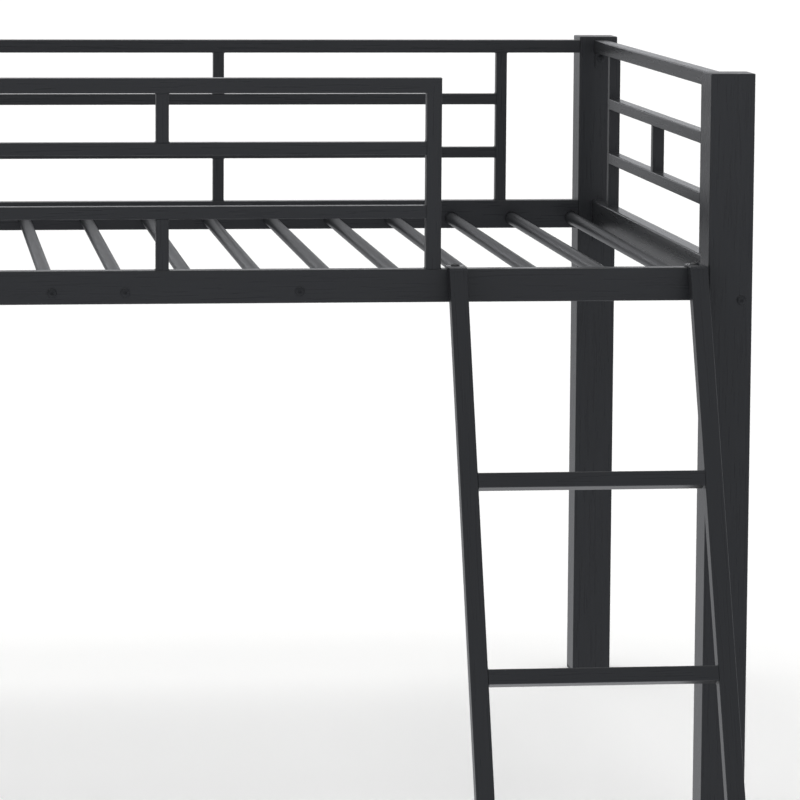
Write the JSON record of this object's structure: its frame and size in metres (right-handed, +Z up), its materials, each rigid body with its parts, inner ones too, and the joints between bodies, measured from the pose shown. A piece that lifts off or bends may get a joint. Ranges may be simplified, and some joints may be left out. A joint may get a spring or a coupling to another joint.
{
  "type": "raised single bed with ladder",
  "caption": "Raised metal single bed: square corner posts, tube slats on side rails, guard rails round the deck and a sloping ladder at one end of the front.",
  "frame": {"origin": "on the floor, in the middle of the box round the whole bed with its ladder", "axes": "+X along the bed toward the ladder's end, +Y from the ladder's side to the wall side, +Z up"},
  "size_m": [2.05, 1.394, 0.97],
  "materials": {
    "post_steel": "satin charcoal powder coat",
    "rail_steel": "satin charcoal powder coat",
    "guard_steel": "satin charcoal powder coat",
    "slat_steel": "satin charcoal powder coat",
    "ladder_steel": "satin charcoal powder coat",
    "bolt_steel": "black oxide, low sheen",
    "zinc_steel": "zinc plated",
    "cap_plastic": "moulded, fine grain, coloured as the frame",
    "foot_plastic": "moulded, matt"
  },
  "bodies": {
    "root": {"back_guard_bars": "guard_steel", "back_guard_mid_rails": "guard_steel", "back_guard_top_rail": "guard_steel", "back_guard_uprights": "guard_steel", "end_centre_bars": "guard_steel", "end_mid_rails_left": "guard_steel", "end_mid_rails_right": "guard_steel", "end_panel_tabs": "rail_steel", "end_rail_left": "rail_steel", "end_rail_right": "rail_steel", "end_top_rail_left": "guard_steel", "end_top_rail_right": "guard_steel", "end_uprights_left": "guard_steel", "end_uprights_right": "guard_steel", "frame_bolts": "bolt_steel", "front_guard_bars": "guard_steel", "front_guard_bottom_rail": "guard_steel", "front_guard_middle_rail": "guard_steel", "front_guard_top_rail": "guard_steel", "front_guard_uprights": "guard_steel", "ladder_feet": "foot_plastic", "ladder_hook_left": "ladder_steel", "ladder_hook_right": "ladder_steel", "ladder_rung_lower": "ladder_steel", "ladder_rung_upper": "ladder_steel", "ladder_stringer_left": "ladder_steel", "ladder_stringer_right": "ladder_steel", "post_back_left": "post_steel", "post_back_right": "post_steel", "post_foot_caps": "foot_plastic", "post_front_left": "post_steel", "post_front_right": "post_steel", "post_top_caps": "cap_plastic", "rivet_nuts": "zinc_steel", "side_rail_back": "rail_steel", "side_rail_brackets": "rail_steel", "side_rail_front": "rail_steel", "slat_01": "slat_steel", "slat_02": "slat_steel", "slat_03": "slat_steel", "slat_04": "slat_steel", "slat_05": "slat_steel", "slat_06": "slat_steel", "slat_07": "slat_steel", "slat_08": "slat_steel", "slat_09": "slat_steel", "slat_10": "slat_steel", "slat_11": "slat_steel", "slat_12": "slat_steel", "slat_13": "slat_steel", "slat_14": "slat_steel", "slat_15": "slat_steel", "slat_16": "slat_steel", "slat_17": "slat_steel", "slat_18": "slat_steel", "slat_19": "slat_steel", "slat_20": "slat_steel", "slat_21": "slat_steel", "slat_22": "slat_steel", "slat_end_plugs": "zinc_steel"}
  },
  "joints": []
}
